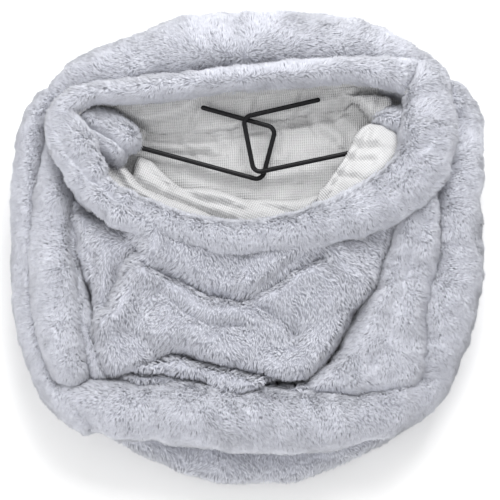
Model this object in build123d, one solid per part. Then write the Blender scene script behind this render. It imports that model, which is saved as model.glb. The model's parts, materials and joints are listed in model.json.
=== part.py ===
from build123d import *
import math
import os

# Plush cover lying slouched on its closed end, with its elastic mouth open on top.
# Millimetres. X runs across the mouth, Y from the front fold to the back, Z up.

# Driving dimensions: layers of the folded shell, from the resting face up
BASE_THICKNESS = 38.0       # plush closed end that everything else lies on
BASE_EDGE_ROUND = 13.0
PANEL_EDGE_ROUND = 5.0
LAYER_GAP = 0.4             # clearance between folded layers
SIDE_ROLL_RADIUS = 25.0     # side and back walls, folded down into rolls
BACK_ROLL_RADIUS = 26.0
FRONT_ROLL_RADIUS = 30.0
INNER_FOLD_RADIUS = 16.0
INNER_FOLD_Z = 72.0
PANEL_TOP_Z = 82.0          # front wall, slumped between the mouth and the front roll

# Driving dimensions: mouth casing with the elastic in it
CASING_RADIUS = 18.0
CASING_BORE_RADIUS = 4.2
ELASTIC_RADIUS = 3.2
CASING_Z = 108.0
CASING_SPLIT_Y = 84.0       # line of the two side seams
STITCH_RADIUS = 0.5
STITCH_LENGTH = 5.0
STITCH_COUNT = 60
STITCH_GAP = 0.1            # clearance between a stitch and the casing

# Driving dimensions: lining
LINING_FLOOR_TOP = 57.5
LINING_EDGE_SHARE = 0.25    # rounding of the floor's edge, as a share of its thickness
TUCK_RADIUS = 13.0
RIGHT_TUCK_RADIUS = 10.0

# Driving dimensions: coated wire hooks and the elastic straps that hold them
WIRE_CORE_RADIUS = 1.9
SLEEVE_BORE_RADIUS = 1.95
SLEEVE_RADIUS = 2.4
WIRE_BEND_RADIUS = 8.0
EYE_RADIUS = 9.0            # centre line of the closed eye on the held end
EYE_SWEEP = 285.0
HOOK_TILT = 10.0            # the hooks lean up towards the back of the mouth
HOOK_PLANE_Y = 70.0
LEFT_HOOK_Z = 66.0          # height of each hook's plane at HOOK_PLANE_Y
RIGHT_HOOK_Z = 72.6
STRAP_WIDTH = 6.0
STRAP_LAYER = 1.0           # thickness of one layer of webbing
STRAP_LOOP_RADIUS = 4.9
STRAP_LENGTH = 24.0
TACK_THREAD = 0.5
TACK_COUNT = 4
TACK_START = 2.0            # first stitch of the tack, beyond the strap's loop
TACK_PITCH = 1.5
TACK_INSET = 0.5            # from the strap's edges to the stitches

# Plan outline of the closed end
BASE_OUTLINE = [
    (0, 228), (-105, 208), (-188, 158), (-225, 90), (-232, 0), (-222, -92),
    (-165, -178), (-60, -226), (20, -230), (100, -211), (165, -170),
    (208, -112), (222, -30), (229, 60), (224, 130), (172, 196), (80, 224),
]
PANEL_OUTLINE = [
    (-112, 16), (-136, -10), (-134, -60), (-106, -114), (-60, -136), (0, -141),
    (60, -138), (104, -114), (130, -60), (130, -10), (106, 16), (50, 0), (-6, -5), (-60, 0),
]
LINING_FLOOR_OUTLINE = [
    (-150, 95), (-126, 50), (-60, 26), (0, 17), (60, 26), (120, 50),
    (150, 92), (130, 114), (0, 118), (-130, 114),
]

# Centre lines of the folded rolls
LEFT_SIDE_LINE = [(-178, -128), (-198, -90), (-207, -27), (-206, 50), (-192, 110)]
RIGHT_SIDE_LINE = [(204, 108), (206, 46), (198, -25), (190, -80), (176, -120)]
BACK_LINE = [(-168, 158), (-125, 186), (-70, 201), (0, 206), (80, 202), (140, 186), (178, 160)]
FRONT_LINE = [(-128, -160), (-88, -173), (0, -178), (78, -174), (125, -158)]
LEFT_INNER_LINE = [(-163, 25), (-160, -25), (-150, -75), (-134, -106)]
RIGHT_INNER_LINE = [(154, 0), (153, -45), (140, -92)]
MOUTH_LINE = [
    (-176, 107), (-158, 50), (-112, 17), (-58, 3), (0, -2), (56, 4), (104, 22),
    (152, 52), (176, 98), (160, 141), (99, 157), (0, 159), (-79, 153), (-146, 139),
]

# Centre lines of the lining folds and of the casing tucked into the mouth, with their height
LEFT_TUCK_LINE = [(-140, 110, 92), (-128, 102, 92), (-116, 93, 92)]
RIGHT_TUCK_LINE = [(149, 114, 94), (147.5, 104, 94), (149, 92, 94)]
BACK_FOLD_LINE = [(-86, 128, 63), (-50, 131, 63), (0, 132, 63), (60, 132, 63), (112, 130, 63)]
FRONT_FOLD_LINE = [(-126, 70, 71.5), (-96, 58, 71.5), (-48, 41, 71.5), (0, 31, 71.5), (48, 42, 71.5)]
LEFT_FOLD_LINE = [(-134, 138, 72), (-121, 134, 72), (-108, 131, 72)]
RIGHT_FOLD_LINE = [(68, 52, 96), (96, 74, 96), (125, 103, 96)]
BACK_FOLD_RADIUS = 8.5
FRONT_FOLD_RADIUS = 11.0
LEFT_FOLD_RADIUS = 7.0
RIGHT_FOLD_RADIUS = 12.0

# Hooks in plan: free end, the two bends, and where the straight leg meets the eye
LEFT_HOOK_PLAN = [(-47, 136), (26, 116), (12, 64), (-125, 100.5)]
RIGHT_HOOK_PLAN = [(68, 142), (-7, 125), (4, 70), (120, 94)]


def at_height(line, z):
    """Lift a plan line to one height."""
    return [(x, y, z) for x, y in line]


def round_section(path, radius, hole=0.0):
    """Round or ring-shaped section square to the start of a path."""
    plane = Plane(origin=path @ 0, z_dir=path % 0)
    face = Circle(radius)
    if hole:
        face = face - Circle(hole)
    return plane * face


def dome(origin, facing, radius):
    """Half a ball with its flat side on the origin."""
    half_ball = Sphere(radius, arc_size1=0, arc_size2=90, align=(Align.CENTER, Align.CENTER, Align.MIN))
    return Plane(origin=origin, z_dir=facing) * half_ball


def soft_roll(line, radius):
    """A roll of folded fabric along a smooth line, with round ends."""
    path = Spline(*line)
    roll = sweep(round_section(path, radius), path=path)
    return roll + dome(path @ 0, -(path % 0), radius) + dome(path @ 1, path % 1, radius)


def soft_slab(outline, low, high, edge_round):
    """A flat layer of folded fabric with rounded edges."""
    face = make_face(Spline(*outline, periodic=True))
    slab = Pos(0, 0, low) * extrude(face, amount=high - low)
    return fillet(slab.edges(), edge_round)


def make_shell():
    """The plush outside of the cover, folded down on itself."""
    above_base = BASE_THICKNESS + LAYER_GAP
    side_z = above_base + SIDE_ROLL_RADIUS
    back_z = above_base + BACK_ROLL_RADIUS
    front_z = above_base + FRONT_ROLL_RADIUS
    return {
        "base_panel": soft_slab(BASE_OUTLINE, 0, BASE_THICKNESS, BASE_EDGE_ROUND),
        "front_panel": soft_slab(PANEL_OUTLINE, above_base, PANEL_TOP_Z, PANEL_EDGE_ROUND),
        "front_lower_roll": soft_roll(at_height(FRONT_LINE, front_z), FRONT_ROLL_RADIUS),
        "left_side_panel": soft_roll(at_height(LEFT_SIDE_LINE, side_z), SIDE_ROLL_RADIUS),
        "right_side_panel": soft_roll(at_height(RIGHT_SIDE_LINE, side_z), SIDE_ROLL_RADIUS),
        "back_panel": soft_roll(at_height(BACK_LINE, back_z), BACK_ROLL_RADIUS),
        "left_inner_fold": soft_roll(at_height(LEFT_INNER_LINE, INNER_FOLD_Z), INNER_FOLD_RADIUS),
        "right_inner_fold": soft_roll(at_height(RIGHT_INNER_LINE, INNER_FOLD_Z), INNER_FOLD_RADIUS),
        "left_casing_tuck": soft_roll(LEFT_TUCK_LINE, TUCK_RADIUS),
        "right_casing_tuck": soft_roll(RIGHT_TUCK_LINE, RIGHT_TUCK_RADIUS),
    }


def make_stitches(path):
    """Stitches that close the casing on the lining, round the inside of the mouth."""
    stitches = Part()
    for index in range(STITCH_COUNT):
        where = (index + 0.5) / STITCH_COUNT
        along = path % where
        inward = Vector(0, 0, 1).cross(along)
        reach = CASING_RADIUS + STITCH_RADIUS + STITCH_GAP
        centre = (path @ where) + (inward - Vector(0, 0, 1)).normalized() * reach
        plane = Plane(origin=centre, z_dir=along)
        stitches += plane * Cylinder(STITCH_RADIUS, STITCH_LENGTH)
    return stitches


def make_mouth():
    """The casing in two halves, front and back, and the elastic that runs round inside it."""
    path = Spline(*at_height(MOUTH_LINE, CASING_Z), periodic=True)
    casing = sweep(round_section(path, CASING_RADIUS, CASING_BORE_RADIUS), path=path)
    side_seams = Plane.XZ.offset(-CASING_SPLIT_Y)
    return {
        "mouth_casing_front": split(casing, bisect_by=side_seams, keep=Keep.TOP),
        "mouth_casing_back": split(casing, bisect_by=side_seams, keep=Keep.BOTTOM),
        "mouth_elastic": sweep(round_section(path, ELASTIC_RADIUS), path=path),
        "casing_stitching": make_stitches(path),
    }


def make_lining():
    """The knitted lining that shows inside the mouth, as the folds it lies in."""
    above_base = BASE_THICKNESS + LAYER_GAP
    floor_round = (LINING_FLOOR_TOP - above_base) * LINING_EDGE_SHARE
    return {
        "lining_floor": soft_slab(LINING_FLOOR_OUTLINE, above_base, LINING_FLOOR_TOP, floor_round),
        "lining_back_fold": soft_roll(BACK_FOLD_LINE, BACK_FOLD_RADIUS),
        "lining_front_fold": soft_roll(FRONT_FOLD_LINE, FRONT_FOLD_RADIUS),
        "lining_left_fold": soft_roll(LEFT_FOLD_LINE, LEFT_FOLD_RADIUS),
        "lining_right_fold": soft_roll(RIGHT_FOLD_LINE, RIGHT_FOLD_RADIUS),
    }


def hook_plane(height):
    """The leaning plane that one hook lies in."""
    tilt = math.radians(HOOK_TILT)
    return Plane(
        origin=(0, HOOK_PLANE_Y, height),
        x_dir=(1, 0, 0),
        z_dir=(0, -math.sin(tilt), math.cos(tilt)),
    )


def make_hook(side, plan, height, eye_turn):
    """One bent wire hook, its elastic strap and the strap's stitching."""
    plane = hook_plane(height)
    stretch = 1 / math.cos(math.radians(HOOK_TILT))
    points = [(x, (y - HOOK_PLANE_Y) * stretch) for x, y in plan]
    legs = FilletPolyline(*points, radius=WIRE_BEND_RADIUS)
    eye = JernArc(legs @ 1, legs % 1, EYE_RADIUS, eye_turn * EYE_SWEEP)
    path = plane * Wire(legs.edges() + eye.edges())
    core = sweep(round_section(path, WIRE_CORE_RADIUS), path=path)
    sleeve = sweep(round_section(path, SLEEVE_RADIUS, SLEEVE_BORE_RADIUS), path=path)
    caps = Part()
    for end, facing in ((path @ 0, -(path % 0)), (path @ 1, path % 1)):
        caps += dome(end, facing, SLEEVE_RADIUS)

    leg_direction = (legs % 1).normalized()
    across = leg_direction.rotate(Axis.Z, 90 * eye_turn)
    pull_point = (legs @ 1) + (leg_direction + across) * EYE_RADIUS
    pivot = plane.from_local_coords(pull_point)
    outward = plane.from_local_coords(pull_point + leg_direction) - pivot
    wire_way = plane.from_local_coords(pull_point + across) - pivot
    strap_plane = Plane(origin=pivot, x_dir=outward, z_dir=wire_way)
    loop = Circle(STRAP_LOOP_RADIUS) - Circle(STRAP_LOOP_RADIUS - STRAP_LAYER)
    tail_start = STRAP_LOOP_RADIUS - STRAP_LAYER / 2
    tail_length = STRAP_LENGTH - tail_start
    tail = Pos(tail_start + tail_length / 2, 0) * Rectangle(tail_length, 2 * STRAP_LAYER)
    strap = strap_plane * extrude(loop + tail, amount=STRAP_WIDTH / 2, both=True)
    tack = Part()
    for index in range(TACK_COUNT):
        reach = STRAP_LOOP_RADIUS + TACK_START + TACK_PITCH * index
        spot = Pos(reach, STRAP_LAYER + TACK_THREAD / 2, 0)
        tack += strap_plane * spot * Box(TACK_THREAD, TACK_THREAD, STRAP_WIDTH - 2 * TACK_INSET)
    return {
        f"{side}_hook_wire": core,
        f"{side}_hook_sleeve": sleeve,
        f"{side}_hook_caps": caps,
        f"{side}_strap": strap,
        f"{side}_strap_tack": tack,
    }


def main():
    nodes = {}
    nodes.update(make_shell())
    nodes.update(make_mouth())
    nodes.update(make_lining())
    nodes.update(make_hook("left", LEFT_HOOK_PLAN, LEFT_HOOK_Z, -1))
    nodes.update(make_hook("right", RIGHT_HOOK_PLAN, RIGHT_HOOK_Z, 1))
    os.makedirs("parts", exist_ok=True)
    for name, shape in nodes.items():
        shape.label = name
        export_step(shape, f"parts/{name}.step")


main()
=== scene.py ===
import json
import math

import bpy
import numpy as np
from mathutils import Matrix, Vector
from mathutils.bvhtree import BVHTree
from mathutils.kdtree import KDTree


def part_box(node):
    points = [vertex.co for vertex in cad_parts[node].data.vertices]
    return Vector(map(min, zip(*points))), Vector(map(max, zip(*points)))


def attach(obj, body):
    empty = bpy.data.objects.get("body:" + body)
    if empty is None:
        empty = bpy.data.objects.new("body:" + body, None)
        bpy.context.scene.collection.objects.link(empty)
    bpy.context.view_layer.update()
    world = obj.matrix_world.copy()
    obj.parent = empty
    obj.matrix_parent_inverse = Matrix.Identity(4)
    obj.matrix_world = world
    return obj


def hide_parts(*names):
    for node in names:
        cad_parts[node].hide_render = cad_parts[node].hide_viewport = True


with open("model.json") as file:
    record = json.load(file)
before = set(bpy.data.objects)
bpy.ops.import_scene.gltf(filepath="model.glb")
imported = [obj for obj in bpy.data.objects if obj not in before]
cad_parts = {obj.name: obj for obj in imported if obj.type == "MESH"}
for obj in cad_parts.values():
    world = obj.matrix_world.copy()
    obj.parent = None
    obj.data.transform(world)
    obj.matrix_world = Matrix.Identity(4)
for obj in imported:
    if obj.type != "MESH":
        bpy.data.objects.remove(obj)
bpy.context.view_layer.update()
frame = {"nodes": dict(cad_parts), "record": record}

MM = 0.001
BODY = "cover"

# ---------------------------------------------------------------- sizes, in millimetres
RESTING_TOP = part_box("base_panel")[1][2] / MM    # top of the closed end that all the folds lie on
CASING_LOW, CASING_HIGH = (corner[2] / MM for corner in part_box("mouth_casing_front"))
CASING_MID = (CASING_LOW + CASING_HIGH) / 2

PILE_DEPTH = 4.5                # the backing lies this far under the furry surface
PILE_LENGTH = 7.0
PILE_WIDTH = 0.7
PILE_LEAN = 52                  # degrees from square to the skin
PILE_LEAN_LEAST, PILE_LEAN_MOST = 30, 66
PILE_PER_MM2 = 1.5
PILE_MOST = 49900               # strands in one piece
PILE_LOWEST = 1.2               # no strand is rooted nearer the floor than this
LOCK_CELL, LOCK_PULL = 4.0, 0.15    # size of a lock of pile, and how far its tips draw together
BURIED = 1.5                    # a place deeper than this inside another skin grows no pile
CLOTH_THICKNESS = 1.4
CLOTH_CELL = 6.0                # cells of the cloth simulation
CLOTH_SLACK = 0.06              # share of extra cloth that has to pucker
CLOTH_STEPS = 20
CLOTH_PRESSURE = 4.0
CLOTH_MASS = 0.2
CLOTH_BENDING = 0.2
CLOTH_MOVE = 5.0                # furthest that the simulation moves a skin
RIM_MOVE = 1.5                  # and the casing's, which has to stay over the elastic


# ---------------------------------------------------------------- small maths
def waves(points, wavelength, seed, count=18):
    """Smooth noise of about unit size: a sum of plane waves in random directions."""
    rng = np.random.default_rng(seed)
    ways = rng.normal(size=(count, points.shape[-1]))
    ways /= np.linalg.norm(ways, axis=1, keepdims=True)
    ways *= (2 * math.pi / wavelength) * rng.uniform(0.7, 1.5, size=(count, 1))
    phases = rng.uniform(0, 2 * math.pi, count)
    return np.sin(points @ ways.T + phases).sum(axis=-1) * math.sqrt(2 / count)


def unit(vectors):
    return vectors / np.maximum(np.linalg.norm(vectors, axis=-1, keepdims=True), 1e-9)


def smooth_line(stations, step, closed=False):
    """Catmull-Rom curve through the stations, sampled about every step along its length."""
    stations = np.array(stations, dtype=float)
    count = len(stations)
    spans = count if closed else count - 1
    fine = []
    for span in range(spans):
        if closed:
            a, b, c, d = (stations[(span + k) % count] for k in (-1, 0, 1, 2))
        else:
            a, b, c, d = (stations[min(max(span + k, 0), count - 1)] for k in (-1, 0, 1, 2))
        t = np.linspace(0, 1, 24, endpoint=False)[:, None]
        fine.append(0.5 * (2 * b + (c - a) * t + (2 * a - 5 * b + 4 * c - d) * t**2
                           + (3 * b - a - 3 * c + d) * t**3))
    fine.append(stations[:1] if closed else stations[-1:])
    fine = np.concatenate(fine)
    length = np.concatenate([[0], np.cumsum(np.linalg.norm(np.diff(fine[:, :3], axis=0), axis=1))])
    samples = max(int(length[-1] / step), 4)
    places = np.linspace(0, length[-1], samples + 1)
    if closed:
        places = places[:-1]
    return np.stack([np.interp(places, length, column) for column in fine.T], axis=1), places


def distance_to_line(points, line):
    """Distance in plan from each point to a polyline, and on which side of it the point lies."""
    best = np.full(points.shape[:-1], 1e9)
    side = np.zeros(points.shape[:-1])
    for start, end in zip(line[:-1], line[1:]):
        way = end - start
        share = np.clip(((points - start) @ way) / (way @ way), 0, 1)
        away = points - (start + share[..., None] * way)
        distance = np.linalg.norm(away, axis=-1)
        nearer = distance < best
        best = np.where(nearer, distance, best)
        side = np.where(nearer, np.sign(way[0] * away[..., 1] - way[1] * away[..., 0]), side)
    return best, side


# ---------------------------------------------------------------- meshes
def mesh_object(name, points, faces):
    """A mesh object from points in millimetres."""
    mesh = bpy.data.meshes.new(name)
    mesh.from_pydata((np.asarray(points) * MM).tolist(), [], [list(map(int, f)) for f in faces])
    mesh.validate()
    mesh.update()
    mesh.polygons.foreach_set("use_smooth", [True] * len(mesh.polygons))
    obj = bpy.data.objects.new(name, mesh)
    bpy.context.scene.collection.objects.link(obj)
    return obj


def grid_faces(rows, columns, wrap_rows, wrap_columns):
    faces = []
    for i in range(rows if wrap_rows else rows - 1):
        for j in range(columns if wrap_columns else columns - 1):
            k, m = (i + 1) % rows, (j + 1) % columns
            faces.append((i * columns + j, k * columns + j, k * columns + m, i * columns + m))
    return faces


def section_frames(line, closed):
    """Side and up directions square to a line that runs more or less level."""
    if closed:
        along = np.roll(line[:, :3], -1, axis=0) - np.roll(line[:, :3], 1, axis=0)
    else:
        along = np.gradient(line[:, :3], axis=0)
    along = unit(along)
    side = unit(np.cross(along, [0, 0, 1]))
    up = unit(np.cross(side, along))
    return along, side, up


def roll_points(stations, closed=False, step=3.0, around=44, power=1.0, low_power=0.75,
                wrinkle=1.2, gather=0.35, seed=1, span=None):
    """Points of a soft roll. Each station is x, y, z, half width and half height."""
    line, places = smooth_line(stations, step, closed)
    if span is not None:
        low, high = (int(round(share * len(line))) for share in span)
        order = np.arange(low, high + 1) % len(line)
        frames = [part[order] for part in section_frames(line, True)]
        line, places = line[order], places[order]
    else:
        frames = section_frames(line, closed)
    along, side, up = frames
    wide = np.maximum(line[:, 3] - PILE_DEPTH, 3)
    high = np.maximum(line[:, 4] - PILE_DEPTH, 3)
    if not closed:
        gone = np.concatenate([[0], np.cumsum(np.linalg.norm(np.diff(line[:, :3], axis=0), axis=1))])
        left = gone[-1] - gone
        for reach in (gone, left):
            share = np.clip(reach / np.maximum(wide, 1), 0, 1)
            taper = np.sqrt(np.maximum(1 - (1 - share) ** 2, 0)) * 0.985 + 0.015
            wide, high = wide * taper, high * taper
    angle = np.linspace(0, 2 * math.pi, around, endpoint=False)
    across = np.sign(np.cos(angle)) * np.abs(np.cos(angle)) ** power
    raised = np.where(np.sin(angle) > 0, np.abs(np.sin(angle)) ** power,
                      -np.abs(np.sin(angle)) ** low_power)
    out = (side[:, None] * (wide[:, None] * across)[..., None]
           + up[:, None] * (high[:, None] * raised)[..., None])
    points = line[:, None, :3] + out
    push = wrinkle * (waves(points, 90, seed) + 0.45 * waves(points, 38, seed + 50))
    ripple = waves(places[:, None], 34, seed + 90)[:, None] * np.clip(raised + 0.4, 0, 1)
    push = push + gather * ripple
    size = np.clip(np.minimum(wide, high) / 12, 0, 1)[:, None]
    return points + unit(out) * (push * size)[..., None]


def close_ends(points):
    """Faces of a tube of points, with a fan at each end."""
    rows, columns = points.shape[:2]
    faces = grid_faces(rows, columns, False, True)
    first, last = rows * columns, rows * columns + 1
    flat = np.concatenate([points.reshape(-1, 3), [points[0].mean(axis=0)], [points[-1].mean(axis=0)]])
    for j in range(columns):
        m = (j + 1) % columns
        faces.append((first, j, m))
        faces.append((last, (rows - 1) * columns + m, (rows - 1) * columns + j))
    return flat, faces


def settle(skin, cap):
    """Let a padded skin swell and pucker as cloth: simulated on a coarse copy, its movement capped."""
    scene = bpy.context.scene
    coarse = bpy.data.objects.new(skin.name + "_coarse", skin.data.copy())
    scene.collection.objects.link(coarse)
    remesh = coarse.modifiers.new("remesh", "REMESH")
    remesh.mode = "VOXEL"
    remesh.voxel_size = CLOTH_CELL * MM
    even = bpy.data.meshes.new_from_object(coarse.evaluated_get(bpy.context.evaluated_depsgraph_get()))
    coarse.modifiers.clear()
    coarse.data = even
    before = np.array([v.co for v in even.vertices]) / MM
    cloth = coarse.modifiers.new("cloth", "CLOTH")
    cloth.settings.quality = 5
    cloth.settings.mass = CLOTH_MASS
    cloth.settings.bending_stiffness = CLOTH_BENDING
    cloth.settings.shrink_min = -CLOTH_SLACK
    cloth.settings.use_pressure = True
    cloth.settings.uniform_pressure_force = CLOTH_PRESSURE
    cloth.settings.effector_weights.gravity = 0.0
    for step in range(1, CLOTH_STEPS + 1):
        scene.frame_set(step)
    moved = coarse.evaluated_get(bpy.context.evaluated_depsgraph_get())
    after = np.array([v.co for v in moved.data.vertices]) / MM
    move = after - before
    length = np.linalg.norm(move, axis=1, keepdims=True)
    move *= np.minimum(1, cap / np.maximum(length, 1e-6))
    print(skin.name, "settled: mean", round(float(length.mean()), 1), "cells", len(before))
    tree = KDTree(len(before))
    for index, place in enumerate(before):
        tree.insert(place, index)
    tree.balance()
    for vertex in skin.data.vertices:
        near = tree.find_n(vertex.co / MM, 4)
        share = np.array([1 / (distance + 0.5) for _, _, distance in near])
        moves = move[[index for _, index, _ in near]]
        vertex.co += Vector((moves * share[:, None]).sum(axis=0) / share.sum()) * MM
    bpy.data.objects.remove(coarse)
    scene.frame_set(1)
    skin.data.update()


def press_creases(points, creases):
    """Press creases down into the upper side of a roll. Each is a line in plan, a depth and a width."""
    middle = points[..., 2].mean(axis=-1, keepdims=True)
    for line, deep, width in creases:
        distance, _ = distance_to_line(points[..., :2], np.array(line, dtype=float))
        rise = np.clip((points[..., 2] - middle) / 8, 0, 1)
        points[..., 2] -= deep * np.exp(-(distance / width) ** 2) * rise
    return points


def make_roll(name, stations, creases=(), **options):
    points, faces = close_ends(press_creases(roll_points(stations, **options), creases))
    return mesh_object(name, points, faces)


# ---------------------------------------------------------------- materials
def new_material(name):
    material = bpy.data.materials.new(name)
    material.use_nodes = True
    nodes, links = material.node_tree.nodes, material.node_tree.links
    return material, nodes, links, nodes["Principled BSDF"]


def noise_node(nodes, links, scale, detail=3.0):
    place = nodes.new("ShaderNodeTexCoord")
    noise = nodes.new("ShaderNodeTexNoise")
    noise.inputs["Scale"].default_value = scale
    noise.inputs["Detail"].default_value = detail
    links.new(place.outputs["Object"], noise.inputs["Vector"])
    return noise


def mix_colour(nodes, links, factor, low, high):
    """Mix two colours; each is a colour or a socket."""
    mix = nodes.new("ShaderNodeMix")
    mix.data_type = "RGBA"
    links.new(factor, mix.inputs["Factor"])
    for value, slot in ((low, "A"), (high, "B")):
        socket = next(s for s in mix.inputs if s.name == slot and s.type == "RGBA")
        if isinstance(value, tuple):
            socket.default_value = (*value, 1)
        else:
            links.new(value, socket)
    return next(s for s in mix.outputs if s.type == "RGBA")


def ramp(nodes, links, source, low, high):
    span = nodes.new("ShaderNodeMapRange")
    span.inputs["From Min"].default_value = low
    span.inputs["From Max"].default_value = high
    links.new(source, span.inputs["Value"])
    return span.outputs["Result"]


def plush_material():
    """Faux fur strands: painted shade darkens them towards the roots, paler at the tips, with soft cloudy
    patches of tone.
    """
    material, nodes, links, shader = new_material("plush_pile")
    patches = noise_node(nodes, links, 38.0)
    flecks = noise_node(nodes, links, 240.0, 2.0)
    tip = nodes.new("ShaderNodeAttribute")
    tip.attribute_name = "tip"
    tone = mix_colour(nodes, links, ramp(nodes, links, patches.outputs["Fac"], 0.35, 0.65),
                      PLUSH_SHADE, PLUSH_LIGHT)
    tone = mix_colour(nodes, links, ramp(nodes, links, flecks.outputs["Fac"], 0.3, 0.75),
                      tone, PLUSH_FLECK)
    # painted shade: the strands darken towards their roots, where the pile shades itself
    tone = mix_colour(nodes, links, ramp(nodes, links, tip.outputs["Fac"], 0.0, 0.8),
                      PLUSH_ROOT_PAINTED_SHADE, tone)
    links.new(tone, shader.inputs["Base Color"])
    shader.inputs["Roughness"].default_value = 0.8
    shader.inputs["Specular IOR Level"].default_value = 0.25
    shader.inputs["Sheen Weight"].default_value = 0.2
    shader.inputs["Sheen Roughness"].default_value = 0.5
    return material


def backing_material():
    """The knitted backing under the pile, seen only between strands: painted dark in patches with the pile's
    painted root shade.
    """
    material, nodes, links, shader = new_material("plush_backing")
    patches = noise_node(nodes, links, 60.0)
    # painted shade: the backing takes the dark root colour of the shaded depths of the pile
    tone = mix_colour(nodes, links, patches.outputs["Fac"], PLUSH_ROOT_PAINTED_SHADE, PLUSH_SHADE)
    links.new(tone, shader.inputs["Base Color"])
    shader.inputs["Roughness"].default_value = 0.9
    return material


def knit_material():
    """Fine ribbed knit: ribs across the cloth, a faint cross thread and soft uneven tone, with painted shade
    darkening the grooves between ribs and threads.
    """
    material, nodes, links, shader = new_material("knit_lining")
    cloth = nodes.new("ShaderNodeUVMap")
    cloth.uv_map = "weave"
    ribs = nodes.new("ShaderNodeTexWave")
    ribs.bands_direction = "X"
    ribs.inputs["Scale"].default_value = 1 / (RIB_PITCH * MM * WAVE_TURNS)
    ribs.inputs["Distortion"].default_value = 1.2
    ribs.inputs["Detail"].default_value = 1.0
    ribs.inputs["Detail Scale"].default_value = 0.4
    threads = nodes.new("ShaderNodeTexWave")
    threads.bands_direction = "Y"
    threads.inputs["Scale"].default_value = 1 / (RIB_PITCH * 1.25 * MM * WAVE_TURNS)
    threads.inputs["Distortion"].default_value = 1.5
    for wave in (ribs, threads):
        links.new(cloth.outputs["UV"], wave.inputs["Vector"])
    patches = noise_node(nodes, links, 30.0)
    tone = mix_colour(nodes, links, ramp(nodes, links, patches.outputs["Fac"], 0.3, 0.7),
                      KNIT_SHADE, KNIT_LIGHT)
    total = nodes.new("ShaderNodeMath")
    total.operation = "MULTIPLY_ADD"
    total.inputs[1].default_value = 0.45
    links.new(threads.outputs["Fac"], total.inputs[0])
    links.new(ribs.outputs["Fac"], total.inputs[2])
    # painted shade in the grooves of the ribs and threads
    tone = mix_colour(nodes, links, ramp(nodes, links, total.outputs["Value"], -0.2, 0.95),
                      KNIT_GROOVE_PAINTED_SHADE, tone)
    links.new(tone, shader.inputs["Base Color"])
    bump = nodes.new("ShaderNodeBump")
    bump.inputs["Strength"].default_value = 0.7
    bump.inputs["Distance"].default_value = 0.0008
    links.new(total.outputs["Value"], bump.inputs["Height"])
    links.new(bump.outputs["Normal"], shader.inputs["Normal"])
    shader.inputs["Roughness"].default_value = 0.9
    shader.inputs["Sheen Weight"].default_value = 0.1
    return material


def vinyl_material():
    """Glossy black vinyl dip over the wire, slightly uneven."""
    material, nodes, links, shader = new_material("black_vinyl")
    drips = noise_node(nodes, links, 120.0)
    wear = noise_node(nodes, links, 420.0, 4.0)
    tone = mix_colour(nodes, links, drips.outputs["Fac"], (0.006, 0.006, 0.007), (0.017, 0.017, 0.019))
    links.new(tone, shader.inputs["Base Color"])
    links.new(ramp(nodes, links, wear.outputs["Fac"], -0.9, 4.6), shader.inputs["Roughness"])
    shader.inputs["Specular IOR Level"].default_value = 0.14
    bump = nodes.new("ShaderNodeBump")
    bump.inputs["Strength"].default_value = 0.12
    bump.inputs["Distance"].default_value = 0.0004
    links.new(drips.outputs["Fac"], bump.inputs["Height"])
    links.new(bump.outputs["Normal"], shader.inputs["Normal"])
    return material


def steel_material():
    material, nodes, links, shader = new_material("drawn_steel")
    streaks = noise_node(nodes, links, 300.0)
    tone = mix_colour(nodes, links, streaks.outputs["Fac"], (0.42, 0.42, 0.43), (0.6, 0.6, 0.61))
    links.new(tone, shader.inputs["Base Color"])
    shader.inputs["Metallic"].default_value = 1.0
    shader.inputs["Roughness"].default_value = 0.35
    return material


def webbing_material(name, light, dark, pitch):
    """Woven elastic or thread: fine bands in two directions."""
    material, nodes, links, shader = new_material(name)
    place = nodes.new("ShaderNodeTexCoord")
    bands = nodes.new("ShaderNodeTexWave")
    bands.bands_direction = "DIAGONAL"
    bands.inputs["Scale"].default_value = 1 / (pitch * MM * WAVE_TURNS)
    bands.inputs["Distortion"].default_value = 2.0
    links.new(place.outputs["Object"], bands.inputs["Vector"])
    tone = mix_colour(nodes, links, bands.outputs["Fac"], dark, light)
    links.new(tone, shader.inputs["Base Color"])
    bump = nodes.new("ShaderNodeBump")
    bump.inputs["Strength"].default_value = 0.5
    bump.inputs["Distance"].default_value = 0.0004
    links.new(bands.outputs["Fac"], bump.inputs["Height"])
    links.new(bump.outputs["Normal"], shader.inputs["Normal"])
    shader.inputs["Roughness"].default_value = 0.85
    return material


def studio_material(name, colour):
    material, nodes, links, shader = new_material(name)
    grain = noise_node(nodes, links, 3.0)
    tone = mix_colour(nodes, links, grain.outputs["Fac"], colour, tuple(c * 0.995 for c in colour))
    links.new(tone, shader.inputs["Base Color"])
    shader.inputs["Roughness"].default_value = 0.9
    return material


# ---------------------------------------------------------------- pile
def surface_samples(obj, per_mm2, seed):
    """Random places on a mesh, with their smooth normals, in millimetres."""
    mesh = obj.data
    mesh.calc_loop_triangles()
    points = np.zeros(len(mesh.vertices) * 3)
    mesh.vertices.foreach_get("co", points)
    points = points.reshape(-1, 3) / MM
    normals = np.zeros(len(mesh.vertices) * 3)
    mesh.vertices.foreach_get("normal", normals)
    normals = normals.reshape(-1, 3)
    corners = np.zeros(len(mesh.loop_triangles) * 3, dtype=int)
    mesh.loop_triangles.foreach_get("vertices", corners)
    corners = corners.reshape(-1, 3)
    a, b, c = (points[corners[:, k]] for k in range(3))
    areas = np.linalg.norm(np.cross(b - a, c - a), axis=1) / 2
    rng = np.random.default_rng(seed)
    count = int(areas.sum() * per_mm2)
    chosen = rng.choice(len(areas), size=count, p=areas / areas.sum())
    r, s = np.sqrt(rng.random(count)), rng.random(count)
    shares = np.stack([1 - r, r * (1 - s), r * s], axis=1)[..., None]
    place = (points[corners[chosen]] * shares).sum(axis=1)
    normal = unit((normals[corners[chosen]] * shares).sum(axis=1))
    return place, normal, rng


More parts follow.
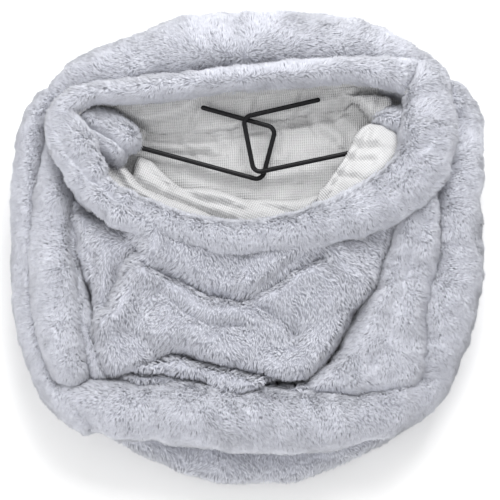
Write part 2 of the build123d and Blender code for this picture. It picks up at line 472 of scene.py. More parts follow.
def outside(places, others):
    """Which places are not buried deep inside another skin."""
    free = np.ones(len(places), dtype=bool)
    for tree, low, high in others:
        near = np.flatnonzero(free & ((places > low) & (places < high)).all(axis=1))
        for index in near:
            spot = Vector(places[index])
            found, normal, _, _ = tree.find_nearest(spot)
            away = spot - found
            if away.dot(normal) < -max(BURIED, away.length / 2):
                free[index] = False
    return free


def search_tree(obj):
    points = np.array([v.co for v in obj.data.vertices]) / MM
    faces = [list(p.vertices) for p in obj.data.polygons]
    tree = BVHTree.FromPolygons(points.tolist(), faces)
    return tree, points.min(axis=0), points.max(axis=0)


def comb(places, normals, rng, seed):
    """Which way the pile lies at each place: outwards and to the front, in wandering swirls."""
    out = places - np.array(MOUTH_CENTRE)
    out[:, 2] = -30.0
    lie = unit(out) + np.array([0.0, -0.55, -0.25])
    turn = 0.42 * waves(places, 70, seed + 7) + 0.24 * waves(places, 20, seed + 8)
    turn += rng.normal(0, 0.26, len(places))
    lie = unit(lie - (lie * normals).sum(axis=1, keepdims=True) * normals)
    across = np.cross(normals, lie)
    return lie * np.cos(turn)[:, None] + across * np.sin(turn)[:, None]


def make_pile(name, skin, others, seed):
    """Strands of fur on a skin: each is a thin bent sliver, drawn a little to its neighbours at the tip."""
    places, normals, rng = surface_samples(skin, PILE_PER_MM2, seed)
    keep = (places[:, 2] > PILE_LOWEST) & (normals[:, 2] > -0.75)
    places, normals = places[keep], normals[keep]
    keep = outside(places, others)
    places, normals = places[keep][:PILE_MOST], normals[keep][:PILE_MOST]
    count = len(places)
    print(name, "strands", count, "kept of", len(keep))
    lie = comb(places, normals, rng, seed)
    lean = PILE_LEAN + 4 * waves(places, 22, seed + 3) + rng.normal(0, 6, count)
    lean = np.radians(np.clip(lean, PILE_LEAN_LEAST, PILE_LEAN_MOST))[:, None]
    reach = PILE_LENGTH * (1 + 0.10 * waves(places, 17, seed + 4)) * rng.uniform(0.75, 1.15, count)
    reach = reach[:, None]
    early = normals * np.cos(lean * 0.6) + lie * np.sin(lean * 0.6)
    late = normals * np.cos(lean * 1.2) + lie * np.sin(lean * 1.2)
    belly = places + early * reach * 0.45
    tips = belly + late * reach * 0.6
    tips = gather_tips(places, tips, rng)
    tips[:, 2] = np.maximum(tips[:, 2], 0.4)
    belly[:, 2] = np.maximum(belly[:, 2], 0.6)
    way = unit(tips - places)
    across = unit(np.cross(way, normals) + rng.normal(0, 0.12, (count, 3)))
    half = (PILE_WIDTH / 2 * rng.uniform(0.7, 1.3, count))[:, None]
    points = np.stack([places - normals * 0.8, belly + across * half, belly - across * half, tips], axis=1)
    tilt = unit(normals + 0.10 * rng.normal(size=(count, 3)))
    shading = np.stack([tilt, unit(tilt + 0.2 * across), unit(tilt - 0.2 * across),
                        unit(tilt + 0.25 * lie)], axis=1)
    return strand_object(name, points, shading)


def gather_tips(places, tips, rng):
    """Draw the strands of each small cell towards one tip, so that the pile lies in soft locks."""
    key = np.floor((places + rng.normal(0, 1.0, places.shape)) / LOCK_CELL).astype(int)
    _, group = np.unique(key, axis=0, return_inverse=True)
    group = group.ravel()
    size = np.bincount(group)[:, None]
    middle = np.stack([np.bincount(group, weights=tips[:, k]) for k in range(3)], axis=1) / size
    return tips + (middle[group] - tips) * LOCK_PULL


SLIVER = np.array([(0, 1, 2), (0, 3, 1), (0, 2, 3), (1, 3, 2)])


def strand_object(name, points, shading):
    """One mesh of many thin slivers, each with its own small patch of the unwrapped sheet."""
    count = len(points)
    spans = points[:, 1:] - points[:, :1]
    turned = np.einsum("ij,ij->i", np.cross(spans[:, 0], spans[:, 1]), spans[:, 2]) > 0
    points[turned] = points[turned][:, [0, 2, 1, 3]]
    shading[turned] = shading[turned][:, [0, 2, 1, 3]]
    mesh = bpy.data.meshes.new(name)
    mesh.vertices.add(count * 4)
    mesh.vertices.foreach_set("co", (points * MM).ravel())
    corners = (np.arange(count)[:, None, None] * 4 + SLIVER).reshape(-1)
    mesh.loops.add(len(corners))
    mesh.loops.foreach_set("vertex_index", corners)
    mesh.polygons.add(count * len(SLIVER))
    mesh.polygons.foreach_set("loop_start", np.arange(count * len(SLIVER)) * 3)
    mesh.update(calc_edges=True)
    mesh.polygons.foreach_set("use_smooth", np.ones(count * len(SLIVER), dtype=bool))
    # how far along the strand, root 0 to tip 1; the pile material paints shade at the roots with it
    tip = mesh.attributes.new("tip", "FLOAT", "POINT")
    tip.data.foreach_set("value", np.tile([0.0, 0.6, 0.6, 1.0], count))
    side = int(math.ceil(math.sqrt(count)))
    cell = 1.0 / side
    local = np.array([(0.5, 0.1), (0.15, 0.5), (0.85, 0.5), (0.5, 0.9)])
    index = np.arange(count)
    origin = np.stack([index % side, index // side], axis=1) * cell
    patch = (origin[:, None, :] + local[None] * cell).reshape(-1, 2)
    layer = mesh.uv_layers.new(name="OFBake")
    layer.data.foreach_set("uv", patch[corners].ravel())
    mesh.normals_split_custom_set_from_vertices(shading.reshape(-1, 3).tolist())
    obj = bpy.data.objects.new(name, mesh)
    bpy.context.scene.collection.objects.link(obj)
    return obj


# ---------------------------------------------------------------- places of the folds
MOUTH_CENTRE = (0.0, 84.0, 60.0)

# Middle line of the gathered casing in plan, and its half width
RIM = [
    (-173, 93, 22), (-163, 72, 22), (-152, 50, 20), (-133, 33, 19), (-104, 19, 19),
    (-69, 9, 18), (-34, 2, 17), (0, -1, 17), (45, 6, 20), (89, 19, 24),
    (120, 32, 26), (146, 48, 28), (164, 66, 28), (172, 90, 28), (174, 118, 27),
    (172, 142, 25), (156, 158, 19), (109, 166, 14), (67, 164, 13), (33, 161, 12),
    (0, 158, 12), (-50, 152, 13), (-82, 148, 13), (-120, 144, 12), (-156, 141, 12),
    (-179, 128, 16), (-182, 112, 18),
]
RIM_HALF_HEIGHT = 16
WALL_HALF_WIDTH = 10
WALL_OFFSET = 7                  # how far outside the casing's middle line the wall stands
SEAM_STITCHES = 60
STITCH_LENGTH = 5.0
THREAD_RADIUS = 0.5
THREAD_SIDES = 8
STITCH_PROFILE = [(-1.0, 0.35), (-0.6, 1.0), (0.6, 1.0), (1.0, 0.35)]    # place along, thickness
RIM_CREASES = [
    ([(164, 176), (161, 164), (150, 142)], 11, 4),
    ([(-184, 100), (-173, 78), (-155, 56), (-126, 32), (-100, 22)], 5, 6),
    ([(178, 98), (162, 78), (146, 60)], 3, 6),
    ([(190, 66), (172, 44), (146, 24)], 3, 6),
]

BACK_ROLL = [
    (-200, 128, 52, 20), (-178, 150, 60, 26), (-148, 168, 66, 29), (-108, 184, 70, 32),
    (-60, 193, 72, 34), (0, 198, 73, 34), (61, 198, 73, 34), (117, 188, 72, 33), (160, 172, 68, 29),
    (192, 150, 60, 21),
]
LEFT_OUTER = [
    (-196, 150, 50, 14), (-212, 124, 54, 15), (-219, 84, 56, 15), (-221, 36, 56, 14),
    (-220, -15, 56, 14), (-216, -66, 55, 14), (-205, -112, 54, 15), (-184, -148, 54, 15),
    (-150, -176, 52, 14),
]
LEFT_MIDDLE = [
    (-190, 110, 64, 13), (-193, 70, 68, 15), (-196, 20, 71, 17), (-197, -20, 72, 18),
    (-191, -64, 72, 19), (-183, -104, 72, 21), (-168, -136, 68, 19),
]
LEFT_INNER = [
    (-170, 40, 70, 10), (-174, 0, 72, 11), (-172, -44, 73, 12), (-163, -88, 73, 13), (-146, -130, 70, 12),
]
FRONT_ROLL = [
    (-186, -142, 58, 18), (-158, -158, 62, 23), (-120, -166, 65, 27), (-80, -170, 67, 29),
    (-39, -173, 68, 30), (0, -175, 68, 31), (49, -177, 67, 29), (93, -174, 65, 26),
    (137, -164, 62, 25), (168, -147, 58, 22), (186, -126, 54, 16),
]
RIGHT_OUTER = [
    (196, 158, 54, 14), (212, 132, 60, 20), (210, 92, 62, 24), (206, 44, 63, 27), (202, -6, 63, 28),
    (196, -58, 62, 28), (186, -104, 60, 25), (168, -136, 56, 20),
]
RIGHT_INNER = [
    ([(176, 74), (192, 20), (186, -30), (178, -72), (182, -106), (168, -140), (140, -152), (100, -154),
      (52, -152), (60, -128), (84, -110), (98, -84), (120, -44), (134, 0), (142, 50)], 91, 15, (0.02, 0.03)),
]
RIGHT_INNER_CREASES = [
    ([(176, -40), (166, -78), (174, -108), (164, -140)], 4, 9, 2, 16),
    ([(168, 14), (152, -34), (146, -70)], 3, 8, 3, 14),
    ([(120, -128), (134, -100), (136, -70)], 2, 8, 2, 14),
]
LEFT_TUCK = [
    ([(-187, 132), (-169, 140), (-160, 137), (-147, 133), (-130, 126), (-114, 114), (-109, 100), (-114, 88),
      (-121, 87), (-127, 76), (-137, 76), (-147, 78), (-157, 84), (-167, 98), (-181, 113)], 104, 13,
     (0.04, 0.0)),
]
RIGHT_TUCK = [
    ([(175, 170), (177, 130), (172, 90), (150, 73), (141, 81), (145, 97), (139, 108), (127, 115),
      (122, 123), (133, 132), (149, 136), (156, 149), (163, 164)], 106, 13, (-0.04, 0.0)),
]
TUCK_LOW = 86
TUCK_CREASES = [
    ([(-178, 122), (-150, 108), (-124, 92)], 3, 4, 2, 8),
    ([(-166, 134), (-146, 118), (-120, 106)], 2, 4, 1.5, 8),
    ([(160, 150), (152, 126), (132, 120)], 3, 4, 2, 8),
    ([(168, 110), (152, 104), (144, 88)], 2, 4, 1.5, 8),
]


def with_height(stations, ratio):
    """Give each x, y, z, half width station a half height as a share of its half width."""
    return [(x, y, z, wide, wide * ratio) for x, y, z, wide in stations]


def resting_roll(stations, low):
    """Give each station the half height that reaches from its middle down to low."""
    return [(x, y, z, wide, max(z - low, 4)) for x, y, z, wide in stations]


def base_skin():
    """The closed end: a soft flat cushion of plush whose edge sags onto the floor."""
    outline, _ = smooth_line(BASE_OUTLINE, 3.0, closed=True)
    centre = np.array([0.0, 0.0])
    angle = np.linspace(-math.pi / 2, math.pi / 2, 26)
    rows = []
    for turn in angle:
        inset = PILE_DEPTH + 17 * (1 - math.cos(turn) ** 0.8)
        outward = unit(outline - centre)
        plan = outline - outward * inset
        height = 19.5 + 18.5 * np.sign(math.sin(turn)) * abs(math.sin(turn)) ** 0.8
        rows.append(np.column_stack([plan, np.full(len(plan), height)]))
    points = np.stack(rows, axis=1)
    out = points - np.array([0, 0, 19.0])
    out[..., 2] *= 2
    push = 2.0 * waves(points, 100, 5) + 0.7 * waves(points, 40, 6)
    high = np.clip((points[..., 2] - 1) / 10, 0, 1)
    points = points + unit(out) * (push * high)[..., None]
    points[..., 2] = np.maximum(points[..., 2], 0.8)
    rows_count, columns = points.shape[:2]
    faces = grid_faces(rows_count, columns, True, False)
    bottom, top = rows_count * columns, rows_count * columns + 1
    flat = np.concatenate([points.reshape(-1, 3), [[0, 0, 0.8]], [[0, 0, RESTING_TOP]]])
    for i in range(rows_count):
        k = (i + 1) % rows_count
        faces.append((bottom, k * columns, i * columns))
        faces.append((top, i * columns + columns - 1, k * columns + columns - 1))
    return mesh_object("base_panel_skin", flat, faces)


BASE_OUTLINE = [
    (0, 222), (-105, 202), (-184, 154), (-220, 88), (-227, 0), (-217, -90), (-163, -174),
    (-60, -228), (20, -235), (100, -214), (150, -178), (194, -122), (218, -40), (224, 60),
    (219, 128), (168, 192), (80, 218),
]
# Lobes of the front wall: outline in plan, height, radius of the rounded edge, tilt in x and y
PANEL_LOBES = [
    ([(-164, 34), (-176, -8), (-167, -54), (-157, -100), (-139, -140), (-104, -134), (-75, -117),
      (-49, -123), (0, -135), (34, -141), (62, -136), (94, -101), (112, -72), (131, -37), (148, -2),
      (158, 34), (0, 18)], 95, 14, (0.0, 0.02)),
    ([(-128, 16), (-105, -24), (-62, -41), (-42, -54), (-10, -60), (23, -45), (42, -29), (68, -17),
      (96, 4), (80, 26), (0, 20), (-100, 26)], 107, 9, (0.0, 0.02)),
    ([(-132, -128), (-75, -108), (-49, -114), (0, -126), (30, -134), (12, -147), (-12, -153),
      (-36, -151), (-61, -138), (-104, -137)], 92, 9, (0.0, 0.0)),
    ([(-136, -130), (-61, -130), (-36, -142), (0, -144), (62, -138), (72, -150), (20, -160), (-60, -158),
      (-120, -148)], 84, 8, (0.0, 0.0)),
]
PANEL_CREASES = [
    # line in plan, depth, width, height and width of the fold that lies along its left side
    ([(-106, -8), (-126, -30), (-138, -66)], 10, 7, 9, 16),
    ([(-106, -26), (-62, -43), (-42, -56), (-10, -62), (23, -47), (42, -31), (70, -18)], 9, 4.5, 0, 10),
    ([(-150, -20), (-152, -50), (-146, -74)], 4, 6, 2, 12),
    ([(-88, -52), (-60, -74), (-40, -84), (-10, -84)], 6, 7, 4, 15),
    ([(0, -62), (22, -73), (44, -92)], 5.5, 6.5, 4, 15),
    ([(66, -20), (88, -44), (92, -70)], 4, 7, 3, 15),
    ([(-120, -88), (-92, -104), (-60, -104)], 4, 7, 4, 15),
]


def inside_distance(points, outline):
    """How far each point lies inside a closed outline; negative outside."""
    closed = np.vstack([outline, outline[:1]])
    distance, _ = distance_to_line(points, closed)
    inside = np.zeros(points.shape[:-1], dtype=bool)
    for (ax, ay), (bx, by) in zip(closed[:-1], closed[1:]):
        if ay == by:
            continue
        crosses = (ay > points[..., 1]) != (by > points[..., 1])
        at = ax + (points[..., 1] - ay) * (bx - ax) / (by - ay)
        inside ^= crosses & (points[..., 0] < at)
    return np.where(inside, distance, -distance)


def lobe_height(plan, lobes, creases, low, inset=0.0):
    """Height of a stack of puffed lobes, each with a rounded edge, the tallest showing."""
    height = np.full(plan.shape[:-1], low)
    for corners, top, edge, tilt in lobes:
        outline, _ = smooth_line([(x, y, 0) for x, y in corners], 4.0, closed=True)
        depth = inside_distance(plan, outline[:, :2]) - inset
        share = np.clip(depth / edge, 0, 1)
        middle = outline[:, :2].mean(axis=0)
        crown = top - inset + ((plan - middle) @ np.array(tilt))
        lobe = low + (crown - low) * np.sqrt(np.maximum(1 - (1 - share) ** 2, 0))
        height = np.maximum(height, np.where(depth > 0, lobe, low))
    for line, deep, width, fold, fold_width in creases:
        distance, side = distance_to_line(plan, np.array(line, dtype=float))
        shape = -deep * np.exp(-(distance / width) ** 2)
        shape += fold * np.exp(-((distance - fold_width) / (fold_width * 0.7)) ** 2) * (side > 0)
        height += shape * (height > low + 4)
    return height


def plan_grid(low, high, step):
    xs = np.arange(low[0], high[0] + step, step)
    ys = np.arange(low[1], high[1] + step, step)
    return np.stack(np.meshgrid(xs, ys, indexing="ij"), axis=-1)


def lobe_skin(name, lobes, creases, low, seed):
    """A slumped wall of plush: low lobes with rounded edges and creases where it folded."""
    corners = np.array([corner for outline, *_ in lobes for corner in outline], dtype=float)
    plan = plan_grid(corners.min(axis=0) - 6, corners.max(axis=0) + 6, 2.0)
    height = lobe_height(plan, lobes, creases, low - 1, PILE_DEPTH)
    spot = np.concatenate([plan, np.zeros((*plan.shape[:2], 1))], axis=-1)
    lump = 2.6 * waves(spot, 90, seed) + 1.3 * waves(spot, 38, seed + 1)
    height = height + lump * np.clip((height - low) / 30, 0, 1)
    top = np.concatenate([plan, height[..., None]], axis=-1)
    rows, columns = top.shape[:2]
    under = top.copy()
    under[..., 2] = low - 3
    raised = (height > low).ravel()
    count = rows * columns
    faces = [face for face in grid_faces(rows, columns, False, False) if any(raised[k] for k in face)]
    edges = {(face[k - 1], face[k]) for face in faces for k in range(4)}
    walls = [(b, a, count + a, count + b) for a, b in edges if (b, a) not in edges]
    faces += [tuple(count + k for k in reversed(face)) for face in faces] + walls
    used = np.unique([k for face in faces for k in face])
    order = np.zeros(2 * count, dtype=int)
    order[used] = np.arange(len(used))
    flat = np.concatenate([top.reshape(-1, 3), under.reshape(-1, 3)])[used]
    return mesh_object(name, flat, [[order[k] for k in face] for face in faces])


# ---------------------------------------------------------------- the plush shell
PLUSH_LIGHT = (0.725, 0.74, 0.815)
PLUSH_SHADE = (0.66, 0.675, 0.745)
PLUSH_FLECK = (0.79, 0.805, 0.87)
# painted shade at the roots of the strands and on the backing between them
PLUSH_ROOT_PAINTED_SHADE = (0.48, 0.49, 0.55)
KNIT_LIGHT = (0.75, 0.75, 0.755)
KNIT_SHADE = (0.65, 0.65, 0.655)
# painted shade in the grooves of the knit
KNIT_GROOVE_PAINTED_SHADE = (0.47, 0.47, 0.475)
RIB_PITCH = 2.1
WAVE_TURNS = 3.18                # bands of a wave texture in one unit at scale one


def mouth_wall(name, span, seed):
    """The plush wall that drops from the casing to the closed end, behind and beside the mouth."""
    middle = (CASING_MID + RESTING_TOP) / 2
    line, _ = smooth_line([(x, y, middle) for x, y, *_ in RIM], 12.0, closed=True)
    outward = section_frames(line, True)[1]
    stations = [(*place, WALL_HALF_WIDTH, middle - RESTING_TOP) for place in line + outward * WALL_OFFSET]
    points = roll_points(stations, closed=True, span=span, power=0.6, low_power=0.6, wrinkle=1.0, seed=seed)
    flat, faces = close_ends(points)
    return mesh_object(name, flat, faces)


def rim_stations():
    return [(x, y, CASING_MID, wide, RIM_HALF_HEIGHT) for x, y, wide in RIM]


def rim_half(name, span, seed):
    """One half of the casing, from one side seam round to the other."""
    points = roll_points(rim_stations(), closed=True, span=span, power=0.95, low_power=0.95,
                         wrinkle=0.8, gather=0.7, seed=seed)
    flat, faces = close_ends(press_creases(points, RIM_CREASES))
    return mesh_object(name, flat, faces)


def make_seam_stitches(look):
    """The row of stitches under the inner edge of the casing, on the plush that is seen."""
    line, _ = smooth_line(rim_stations(), 2.0, closed=True)
    along, side, up = section_frames(line, True)
    picked = np.linspace(0, len(line), SEAM_STITCHES, endpoint=False).astype(int)
    line, along, side, up = (part[picked] for part in (line, along, side, up))
    lean = math.sqrt(0.5)
    wide = (line[:, 3:4] - PILE_DEPTH) * lean
    middle = line[:, :3] - side * wide - up * (RIM_HALF_HEIGHT - PILE_DEPTH) * lean
    angle = np.linspace(0, 2 * math.pi, THREAD_SIDES, endpoint=False)
    ring = (side[:, None] * np.cos(angle)[None, :, None] + up[:, None] * np.sin(angle)[None, :, None])
    points, faces = [], []
    for number in range(SEAM_STITCHES):
        for end, thick in STITCH_PROFILE:
            at = middle[number] + along[number] * end * STITCH_LENGTH / 2
            points.append(at + ring[number] * THREAD_RADIUS * thick)
        first = number * len(STITCH_PROFILE) * THREAD_SIDES
        last = first + (len(STITCH_PROFILE) - 1) * THREAD_SIDES
        tube = grid_faces(len(STITCH_PROFILE), THREAD_SIDES, False, True)
        faces += [tuple(first + k for k in face) for face in tube]
        faces.append(tuple(first + k for k in reversed(range(THREAD_SIDES))))
        faces.append(tuple(last + k for k in range(THREAD_SIDES)))
    stitches = mesh_object("casing_seam_thread", np.concatenate(points), faces)
    stitches.data.materials.append(look)
    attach(stitches, BODY)
    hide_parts("casing_stitching")


def make_shell():
    """Every plush fold: its skin, and which CAD node it stands for."""
    low = RESTING_TOP - 1
    skins = [
        (base_skin(), "base_panel", 0.3),
        (lobe_skin("front_panel_skin", PANEL_LOBES, PANEL_CREASES, low, 21), "front_panel", 0.4),
        (make_roll("front_lower_roll_skin", resting_roll(FRONT_ROLL, low), seed=11, wrinkle=1.8),
         "front_lower_roll", 0.5),
        (make_roll("left_side_outer_skin", resting_roll(LEFT_OUTER, 26), seed=12), "left_side_panel", 0.5),
        (make_roll("left_side_middle_skin", resting_roll(LEFT_MIDDLE, low + 6), seed=13),
         "left_side_panel", 0.5),
        (make_roll("left_inner_fold_skin", with_height(LEFT_INNER, 1.1), seed=14), "left_inner_fold", 0.5),
        (make_roll("right_side_skin", resting_roll(RIGHT_OUTER, low), seed=15, wrinkle=1.8),
         "right_side_panel", 0.5),
        (lobe_skin("right_inner_fold_skin", RIGHT_INNER, RIGHT_INNER_CREASES, low, 16), "right_inner_fold",
         0.4),
        (make_roll("back_panel_skin", resting_roll(BACK_ROLL, low), seed=17, wrinkle=1.6),
         "back_panel", 0.5),
        (mouth_wall("back_wall_skin", (0.44, 1.07), 22), "back_panel", 0.4),
        (rim_half("mouth_casing_front_skin", (0.0, 0.5), 18), "mouth_casing_front", 0.6),
        (rim_half("mouth_casing_back_skin", (0.5, 1.0), 18), "mouth_casing_back", 0.6),
        (lobe_skin("left_casing_tuck_skin", LEFT_TUCK, TUCK_CREASES, TUCK_LOW, 19), "left_casing_tuck", 0.5),
        (lobe_skin("right_casing_tuck_skin", RIGHT_TUCK, TUCK_CREASES, TUCK_LOW, 20),
         "right_casing_tuck", 0.5),
    ]
    for skin, _, _ in skins:
        if not skin.name.startswith("base"):
            settle(skin, RIM_MOVE if skin.name.startswith("mouth_casing") else CLOTH_MOVE)
    pile_look, backing_look = plush_material(), backing_material()
    trees = {skin.name: search_tree(skin) for skin, _, _ in skins}
    for number, (skin, node, fill) in enumerate(skins):
        others = [tree for name, tree in trees.items() if name != skin.name]
        pile = make_pile(skin.name.replace("_skin", "_pile"), skin, others, 200 + 20 * number)
        for piece, look in ((skin, backing_look), (pile, pile_look)):
            piece.data.materials.append(look)
            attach(piece, BODY)
            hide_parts(node)


# ---------------------------------------------------------------- the knitted lining
# Each fold: node, lobes as for the front wall, creases, lowest height, way of the ribs in degrees
LINING_FOLDS = [
    ("lining_back_fold", [
        ([(-124, 128), (-108, 114), (-70, 110), (-30, 114), (0, 119), (34, 125), (64, 131), (92, 135),
          (104, 142), (112, 160), (40, 160), (-40, 156), (-110, 148)], 73, 6, (0.04, 0.13)),
        ([(-140, 134), (-110, 119), (-92, 121), (-68, 128), (-44, 144), (-40, 152), (-110, 148)], 88, 6,
         (0.0, 0.1)),
        ([(90, 150), (106, 140), (112, 133), (125, 119), (140, 128), (146, 138), (136, 150)], 89, 7,
         (0.04, 0.04)),
    ], [([(-62, 110), (-56, 126), (-50, 140)], 3.5, 3, 2.4, 7),
        ([(-8, 116), (2, 130), (8, 146)], 3.0, 3, 2.0, 8),
        ([(44, 124), (50, 136), (52, 150)], 3.5, 3, 2.4, 7),
        ([(66, 134), (92, 139), (110, 152)], 4.0, 3, 2.4, 7),
        ([(124, 126), (130, 142), (134, 156)], 3.0, 4, 2.0, 7)], 52, 4),
    ("lining_front_fold", [
        ([(-160, 96), (-145, 90), (-131, 84), (-122, 76), (-111, 61), (-97, 52), (-64, 40), (-25, 24),
          (0, 19), (30, 22), (30, 2), (0, -4), (-70, 8), (-119, 24), (-156, 50)], 84, 10, (0.0, 0.0)),
        ([(-118, 82), (-112, 90), (-100, 86), (-85, 72), (-68, 58), (-38, 57), (-4, 47), (40, 45),
          (72, 50), (64, 28), (40, 10), (0, 10), (-25, 21), (-65, 35), (-99, 48), (-116, 62)], 77, 11,
         (0.0, -0.06)),
    ], [([(-106, 84), (-98, 70), (-84, 58)], 4.0, 4, 2.0, 8),
        ([(-72, 54), (-50, 42), (-20, 36)], 4.0, 4, 2.5, 9),
        ([(-14, 50), (6, 38), (34, 32)], 3.5, 4, 2.0, 9),
        ([(-136, 72), (-124, 52), (-104, 38)], 3.5, 4, 2.0, 9)], 52, -24),
    ("lining_right_fold", [
        ([(66, 45), (78, 61), (88, 75), (97, 90), (103, 104), (112, 114), (124, 117), (146, 108),
          (156, 84), (134, 62), (106, 44), (86, 28), (70, 28)], 96, 15, (0.10, 0.10)),
        ([(76, 40), (90, 56), (104, 66), (122, 80), (136, 92), (150, 84), (134, 62), (106, 42), (84, 28)],
         99, 9, (0.14, 0.04)),
    ], [([(84, 54), (98, 74), (110, 90), (118, 108)], 5.0, 4, 2.0, 8),
        ([(98, 98), (110, 92), (124, 92)], 5.0, 3, 1.5, 6),
        ([(92, 84), (106, 78), (120, 78)], 3.5, 3, 1.5, 6),
        ([(82, 68), (96, 62), (106, 60)], 4.0, 3, 1.5, 6)], 83, 40),
    ("lining_left_fold", [
        ([(-158, 94), (-138, 92), (-122, 90), (-112, 98), (-104, 110), (-106, 122), (-120, 124),
          (-138, 120), (-158, 114)], 65, 6, (0.0, 0.0)),
    ], [], 56, 20),
]
FLOOR_CREASES = [
    ([(-104, 109), (-70, 106), (-30, 110), (0, 115), (34, 121), (60, 127)], 5.0, 3.0, 0, 8),
    ([(44, 123), (64, 127), (88, 131), (98, 136)], 7.0, 4.0, 0, 8),
    ([(-110, 95), (-90, 93), (-64, 92), (-43, 92)], 4.0, 3, 3.4, 8),
    ([(-72, 108), (-68, 100), (-58, 92)], 2.2, 3, 1.6, 6),
    ([(-40, 114), (-32, 106), (-26, 96)], 2.2, 3, 1.6, 6),
    ([(-18, 118), (-16, 106), (-20, 92)], 1.8, 3, 1.4, 7),
    ([(24, 122), (30, 108), (28, 94)], 2.0, 4, 1.4, 7),
    ([(58, 128), (68, 114), (84, 104)], 3.4, 4, 2.4, 8),
    ([(80, 132), (90, 120), (100, 114)], 2.6, 4, 1.8, 8),
    ([(-60, 72), (-30, 66), (10, 60), (40, 62)], 2.0, 5, 1.8, 9),
]
KNIT_SLOPE = 0.11
LINING_LIP = 8                   # how much further under the casing the lining reaches at the front
LINING_WALL = [(0, 42), (6, 36), (9, 15), (11, 6), (16, 2), (24, 0)]    # reach inside the mouth, rise


def sheet_object(name, top, shown, rib_degrees):
    """An open sheet of cloth over part of a grid, given its thickness."""
    rows, columns = top.shape[:2]
    faces = [face for face in grid_faces(rows, columns, False, False)
             if all(shown.reshape(-1)[k] for k in face)]
    used = np.unique(np.array(faces))
    order = np.zeros(rows * columns, dtype=int)
    order[used] = np.arange(len(used))
    points = top.reshape(-1, 3)[used]
    obj = mesh_object(name, points, [tuple(order[k] for k in face) for face in faces])
    turn = math.radians(rib_degrees)
    corners = np.zeros(len(obj.data.loops), dtype=int)
    obj.data.loops.foreach_get("vertex_index", corners)
    x, y = points[corners, 0] * MM, points[corners, 1] * MM
    uv = np.stack([x * math.cos(turn) + y * math.sin(turn), y * math.cos(turn) - x * math.sin(turn)], axis=1)
    obj.data.uv_layers.new(name="weave").data.foreach_set("uv", uv.ravel())
    area = sum(face.area for face in obj.data.polygons)
    size = (points.max(axis=0) - points.min(axis=0)) * MM
    thick = obj.modifiers.new("cloth", "SOLIDIFY")
    thick.thickness = CLOTH_THICKNESS * MM
    thick.offset = -1
    return obj, area, size


def lining_sheet(node, top, shown, rib_degrees, look):
    sheet, area, size = sheet_object(node + "_cloth", top, shown, rib_degrees)
    sheet.data.materials.append(look)
    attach(sheet, BODY)
    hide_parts(node)
    return sheet


def make_lining():
    look = knit_material()
    rim, _ = smooth_line([(x, y, 0) for x, y, *_ in RIM], 4.0, closed=True)
    plan = plan_grid((-178, -2), (178, 162), 1.5)
    spot = np.concatenate([plan, np.zeros((*plan.shape[:2], 1))], axis=-1)
    depth = inside_distance(plan, rim[:, :2])
    floor = 56.0 + KNIT_SLOPE * (plan[..., 1] - 60)
    hidden = LINING_LIP * np.clip((100 - plan[..., 1]) / 50, 0, 1)
    wall = np.interp(depth + hidden, *zip(*LINING_WALL))
    lump = 0.8 * waves(spot, 50, 41) + 0.4 * waves(spot, 18, 42)
    floor = floor + lump
    for line, deep, width, fold, fold_width in FLOOR_CREASES:
        distance, side = distance_to_line(plan, np.array(line, dtype=float))
        floor -= deep * np.exp(-(distance / width) ** 2)
        floor += fold * np.exp(-((distance - fold_width) / (fold_width * 0.7)) ** 2) * (side > 0)
    height = np.minimum(floor + wall, CASING_MID - 11)
    top = np.concatenate([plan, height[..., None]], axis=-1)
    lining_sheet("lining_floor", top, depth + hidden > 0, 2, look)
    for number, (node, lobes, creases, low, ribs) in enumerate(LINING_FOLDS):
        height = lobe_height(plan, lobes, creases, low)
        lump = 0.8 * waves(spot, 34, 51 + number) + 0.4 * waves(spot, 14, 61 + number)
        height = height + lump * np.clip((height - low) / 12, 0, 1)
        top = np.concatenate([plan, height[..., None]], axis=-1)
        lining_sheet(node, top, (height > low + 0.5), ribs, look)


# ---------------------------------------------------------------- stage
VIEW_ELEVATION = math.radians(80)
VIEW_DISTANCE = 1.667
VIEW_TARGET = (0.0, -0.006, 0.060)
LENS = 120
SENSOR = 36
SKY_STRENGTH = 0.82
KEY_POWER, FILL_POWER = 42, 16


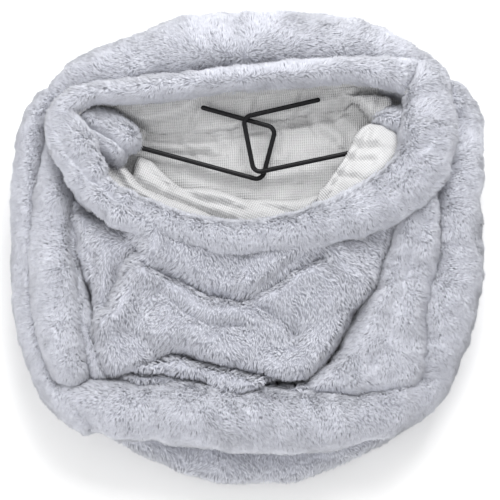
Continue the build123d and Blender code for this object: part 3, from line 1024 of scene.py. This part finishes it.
def make_camera():
    camera = bpy.data.cameras.new("camera")
    camera.lens = LENS
    camera.sensor_width = SENSOR
    camera.clip_end = 20
    obj = bpy.data.objects.new("camera", camera)
    bpy.context.scene.collection.objects.link(obj)
    target = Vector(VIEW_TARGET)
    back = Vector((0, -math.cos(VIEW_ELEVATION), math.sin(VIEW_ELEVATION)))
    obj.location = target + back * VIEW_DISTANCE
    obj.rotation_euler = (math.pi / 2 - VIEW_ELEVATION, 0, 0)
    bpy.context.scene.camera = obj


def area_light(name, place, aim, size, power):
    light = bpy.data.lights.new(name, "AREA")
    light.shape = "SQUARE"
    light.size = size
    light.energy = power
    obj = bpy.data.objects.new(name, light)
    obj.location = place
    obj.rotation_euler = (Vector(aim) - Vector(place)).to_track_quat("-Z", "Y").to_euler()
    bpy.context.scene.collection.objects.link(obj)


def make_stage():
    scene = bpy.context.scene
    scene.view_settings.view_transform = "Standard"
    world = bpy.data.worlds.new("studio")
    world.use_nodes = True
    sky = world.node_tree.nodes["Background"]
    sky.inputs["Color"].default_value = (1.0, 1.0, 1.0, 1)
    sky.inputs["Strength"].default_value = SKY_STRENGTH
    scene.world = world
    area_light("key", (0.35, 1.5, 1.9), (0, 0, 0.05), 1.2, KEY_POWER)
    area_light("fill", (-1.2, -1.3, 1.8), (0, 0, 0.05), 1.6, FILL_POWER)
    bpy.ops.mesh.primitive_plane_add(size=12, location=(0, 0, 0))
    floor = bpy.context.object
    floor.name = "floor"
    floor.data.materials.append(studio_material("floor_white", (0.93, 0.93, 0.93)))


make_camera()
make_stage()
make_shell()
make_lining()

thread_look = webbing_material("sewing_thread", (0.62, 0.63, 0.69), (0.5, 0.51, 0.57), 0.5)
make_seam_stitches(thread_look)
looks = {"vinyl": vinyl_material(), "steel_wire": steel_material(),
         "elastic": webbing_material("elastic_webbing", (0.8, 0.8, 0.79), (0.6, 0.6, 0.6), 0.9),
         "thread": thread_look}
slots = {part["node"]: part["material_slot"] for part in frame["record"]["subparts"]}
for node, look in slots.items():
    if look in looks:
        for place in frame["nodes"][node].material_slots:
            place.material = looks[look]
